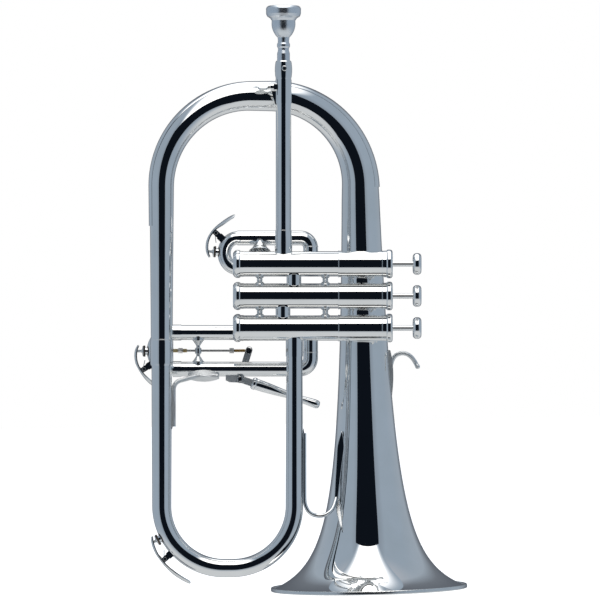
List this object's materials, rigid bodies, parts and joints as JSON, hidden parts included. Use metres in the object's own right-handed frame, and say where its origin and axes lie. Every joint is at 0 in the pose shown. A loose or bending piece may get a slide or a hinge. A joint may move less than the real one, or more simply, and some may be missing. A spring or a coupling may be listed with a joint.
{
  "type": "flugelhorn",
  "caption": "Brass wind instrument with a conical bell, three side-by-side piston valves, tuning slides with a trigger and rod, water keys and a deep-cup mouthpiece.",
  "frame": {"origin": "centre of the bell's mouth, on the plane the rim stands on", "axes": "+Z along the bell's axis to the mouthpiece end, +X towards the valve buttons, -Y the side the valves are on"},
  "size_m": [0.2538, 0.1524, 0.4524],
  "materials": {
    "silver_plate": "mirror-polished silver plate on brass",
    "piston_alloy": "lapped nickel alloy",
    "spring_steel": "drawn wire",
    "guide_plastic": "matte",
    "steel": "polished"
  },
  "bodies": {
    "horn": {"bell": "silver_plate", "bell_rim": "silver_plate", "bottom_bow": "silver_plate", "bow_ferrule": "silver_plate", "outlet_ferrule": "silver_plate", "valve_casing_1": "silver_plate", "valve_casing_2": "silver_plate", "valve_casing_3": "silver_plate", "upper_sleeves": "silver_plate", "top_cap_1": "silver_plate", "top_cap_2": "silver_plate", "top_cap_3": "silver_plate", "bottom_caps": "silver_plate", "crossovers": "silver_plate", "casing_posts": "silver_plate", "leadpipe_sleeve": "silver_plate", "leadpipe_ferrule": "silver_plate", "clamp_collar": "silver_plate", "slide_1_sleeves": "silver_plate", "slide_2_sleeves": "silver_plate", "slide_3_sleeves": "silver_plate", "slide_3_ferrules": "silver_plate", "slide_braces": "silver_plate", "trigger_bracket": "silver_plate", "bow_fork": "silver_plate", "left_tube_brace": "silver_plate", "bell_brace": "silver_plate", "finger_hook": "silver_plate", "bell_valve_braces": "silver_plate", "leadpipe_bow_brace": "silver_plate", "top_bow_guard": "silver_plate", "valve_guides": "guide_plastic", "trigger_pivot_screw": "steel"},
    "clamp_screw": {"clamp_screw": "silver_plate"},
    "mouthpipe": {"mouthpipe": "silver_plate", "receiver": "silver_plate"},
    "mouthpiece": {"mouthpiece": "silver_plate"},
    "valve_1": {"piston_1": "piston_alloy", "button_1": "silver_plate", "spring_1": "spring_steel"},
    "valve_2": {"piston_2": "piston_alloy", "button_2": "silver_plate", "spring_2": "spring_steel"},
    "valve_3": {"piston_3": "piston_alloy", "button_3": "silver_plate", "spring_3": "spring_steel"},
    "slide_1": {"slide_1_crook": "silver_plate", "slide_1_fork": "silver_plate"},
    "slide_1_key": {"slide_1_water_key": "silver_plate"},
    "slide_2": {"slide_2_crook": "silver_plate", "slide_2_knob": "silver_plate"},
    "trigger": {"trigger_lever": "silver_plate", "trigger_handle": "silver_plate"},
    "slide_3": {"slide_3_crook": "silver_plate", "slide_3_fork": "silver_plate", "rod_post": "silver_plate", "linkage_rod": "steel", "rod_nuts": "steel"},
    "slide_3_key": {"slide_3_water_key": "silver_plate"},
    "bow_key": {"bow_water_key": "silver_plate"}
  },
  "joints": [
    {"name": "clamp_screw_turn", "type": "hinge", "parent": "horn", "child": "clamp_screw", "pos_m": [-0.06811, -0.032, 0.38988], "axis": [0.9998, 0, -0.0218], "range_deg": [0, 90]},
    {"name": "mouthpipe_slide", "type": "slide", "parent": "horn", "child": "mouthpipe", "axis": [0.0218, 0, 0.9998], "range_m": [0, 0.022]},
    {"name": "mouthpiece_pull", "type": "slide", "parent": "mouthpipe", "child": "mouthpiece", "axis": [0.0218, 0, 0.9998], "range_m": [0, 0.03]},
    {"name": "valve_1_press", "type": "slide", "parent": "horn", "child": "valve_1", "axis": [-0.9998, 0, 0.0218], "range_m": [0, 0.0145], "stiffness_N_per_m": 150, "springref_m": -0.016, "deforming": ["spring_1"]},
    {"name": "valve_2_press", "type": "slide", "parent": "horn", "child": "valve_2", "axis": [-0.9998, 0, 0.0218], "range_m": [0, 0.0145], "stiffness_N_per_m": 150, "springref_m": -0.016, "deforming": ["spring_2"]},
    {"name": "valve_3_press", "type": "slide", "parent": "horn", "child": "valve_3", "axis": [-0.9998, 0, 0.0218], "range_m": [0, 0.0145], "stiffness_N_per_m": 150, "springref_m": -0.016, "deforming": ["spring_3"]},
    {"name": "slide_1_pull", "type": "slide", "parent": "horn", "child": "slide_1", "axis": [-0.9998, 0, 0.0218], "range_m": [0, 0.02]},
    {"name": "slide_2_pull", "type": "slide", "parent": "horn", "child": "slide_2", "axis": [0, 1, 0], "range_m": [0, 0.012]},
    {"name": "trigger_turn", "type": "hinge", "parent": "horn", "child": "trigger", "pos_m": [-0.09642, -0.0061, 0.16534], "axis": [0, -1, 0], "range_deg": [0, 40], "stiffness_Nm_per_rad": 0.08, "springref_deg": -34.38},
    {"name": "slide_3_pull", "type": "slide", "parent": "horn", "child": "slide_3", "axis": [-0.9998, 0, 0.0218], "range_m": [0, 0.0162]},
    {"name": "slide_1_key_turn", "type": "hinge", "parent": "slide_1", "child": "slide_1_key", "pos_m": [-0.11244, -0.0143, 0.27873], "axis": [0, 1, 0], "range_deg": [0, 14], "stiffness_Nm_per_rad": 0.06, "springref_deg": -28.65},
    {"name": "slide_3_key_turn", "type": "hinge", "parent": "slide_3", "child": "slide_3_key", "pos_m": [-0.17038, -0.0143, 0.17473], "axis": [0, -1, 0], "range_deg": [0, 14], "stiffness_Nm_per_rad": 0.06, "springref_deg": -28.65},
    {"name": "bow_key_turn", "type": "hinge", "parent": "horn", "child": "bow_key", "pos_m": [-0.15678, -0.031, 0.02868], "axis": [0, -1, 0], "range_deg": [0, 14], "stiffness_Nm_per_rad": 0.06, "springref_deg": -28.65}
  ],
  "couplings": [
    {"joint": "slide_3_pull", "follows": "trigger_turn", "m_per_rad": 0.023}
  ]
}
